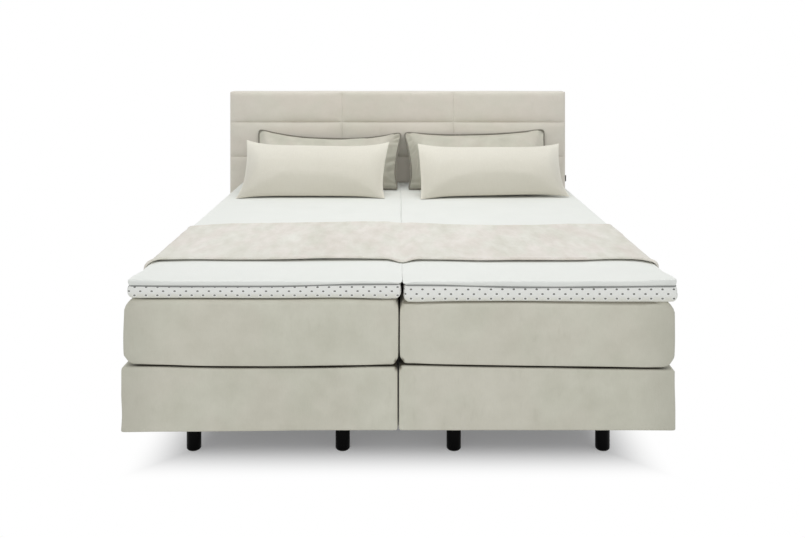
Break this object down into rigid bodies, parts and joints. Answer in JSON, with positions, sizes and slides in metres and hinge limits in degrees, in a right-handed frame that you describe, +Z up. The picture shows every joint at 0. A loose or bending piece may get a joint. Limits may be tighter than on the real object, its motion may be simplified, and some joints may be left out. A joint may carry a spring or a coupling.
{
  "type": "box spring bed",
  "caption": "Double box spring bed: upholstered boxes on legs, spring mattresses, piped toppers, quilted headboard, leaning cushions and a runner.",
  "frame": {"origin": "on the floor, under the middle of the whole bed", "axes": "+X across the bed, to the right as seen from the foot end; +Y from the foot to the headboard; +Z up"},
  "size_m": [1.8913, 2.2202, 1.142],
  "materials": {
    "velvet": "greige velvet",
    "knit": "white knit with a dotted mesh border",
    "cream_cloth": "cream cloth",
    "runner_cloth": "pale mottled velvet",
    "piping": "grey corded edge",
    "tab": "dark woven tape, blank",
    "dust_cloth": "black nonwoven",
    "pocket_cloth": "white nonwoven",
    "foam": "open cell foam",
    "wood": "planed pine",
    "black_lacquer": "satin black lacquer",
    "steel": "galvanised",
    "spring_steel": "drawn wire"
  },
  "bodies": {
    "bed_base": {"box_cover_left": "velvet", "foam_case_left": "foam", "spring_unit_left": "spring_steel", "deck_board_left": "wood", "outer_rail_left": "wood", "inner_rail_left": "wood", "head_rail_left": "wood", "foot_rail_left": "wood", "head_leg_rail_left": "wood", "foot_leg_rail_left": "wood", "dust_cloth_left": "dust_cloth", "foot_outer_leg_left": "black_lacquer", "foot_inner_leg_left": "black_lacquer", "head_outer_leg_left": "black_lacquer", "head_inner_leg_left": "black_lacquer", "headboard_bracket_left": "steel", "box_cover_right": "velvet", "foam_case_right": "foam", "spring_unit_right": "spring_steel", "deck_board_right": "wood", "outer_rail_right": "wood", "inner_rail_right": "wood", "head_rail_right": "wood", "foot_rail_right": "wood", "head_leg_rail_right": "wood", "foot_leg_rail_right": "wood", "dust_cloth_right": "dust_cloth", "foot_outer_leg_right": "black_lacquer", "foot_inner_leg_right": "black_lacquer", "head_outer_leg_right": "black_lacquer", "head_inner_leg_right": "black_lacquer", "headboard_bracket_right": "steel", "foot_link_bracket": "steel", "head_link_bracket": "steel", "headboard_cover": "velvet", "headboard_board": "wood", "headboard_frame": "wood", "headboard_back_cloth": "dust_cloth", "side_tab": "tab"},
    "mattress_left": {"mattress_cover_left": "velvet", "mattress_bottom_foam_left": "foam", "pocket_spring_core_left": "pocket_cloth", "mattress_top_foam_left": "foam"},
    "topper_left": {"topper_cover_left": "knit", "topper_core_left": "foam", "topper_piping_left": "piping"},
    "rear_cushion_left": {"rear_cushion_left": "velvet", "rear_cushion_piping_left": "piping"},
    "front_cushion_left": {"front_cushion_left": "cream_cloth"},
    "mattress_right": {"mattress_cover_right": "velvet", "mattress_bottom_foam_right": "foam", "pocket_spring_core_right": "pocket_cloth", "mattress_top_foam_right": "foam"},
    "topper_right": {"topper_cover_right": "knit", "topper_core_right": "foam", "topper_piping_right": "piping"},
    "rear_cushion_right": {"rear_cushion_right": "velvet", "rear_cushion_piping_right": "piping"},
    "front_cushion_right": {"front_cushion_right": "cream_cloth"},
    "runner": {"runner": "runner_cloth"}
  },
  "joints": [
    {"name": "mattress_lift_left", "type": "slide", "parent": "bed_base", "child": "mattress_left", "axis": [0, 0, 1], "range_m": [0, 0.3]},
    {"name": "topper_lift_left", "type": "slide", "parent": "mattress_left", "child": "topper_left", "axis": [0, 0, 1], "range_m": [0, 0.3]},
    {"name": "rear_cushion_lift_left", "type": "slide", "parent": "topper_left", "child": "rear_cushion_left", "axis": [0, 0, 1], "range_m": [0, 0.3]},
    {"name": "front_cushion_lift_left", "type": "slide", "parent": "rear_cushion_left", "child": "front_cushion_left", "axis": [0, 0, 1], "range_m": [0, 0.3]},
    {"name": "mattress_lift_right", "type": "slide", "parent": "bed_base", "child": "mattress_right", "axis": [0, 0, 1], "range_m": [0, 0.3]},
    {"name": "topper_lift_right", "type": "slide", "parent": "mattress_right", "child": "topper_right", "axis": [0, 0, 1], "range_m": [0, 0.3]},
    {"name": "rear_cushion_lift_right", "type": "slide", "parent": "topper_right", "child": "rear_cushion_right", "axis": [0, 0, 1], "range_m": [0, 0.3]},
    {"name": "front_cushion_lift_right", "type": "slide", "parent": "rear_cushion_right", "child": "front_cushion_right", "axis": [0, 0, 1], "range_m": [0, 0.3]},
    {"name": "runner_lift", "type": "slide", "parent": "topper_left", "child": "runner", "axis": [0, 0, 1], "range_m": [0, 0.3]}
  ],
  "couplings": [
    {"joint": "mattress_lift_right", "follows": "mattress_lift_left", "ratio": 1},
    {"joint": "topper_lift_right", "follows": "topper_lift_left", "ratio": 1}
  ]
}
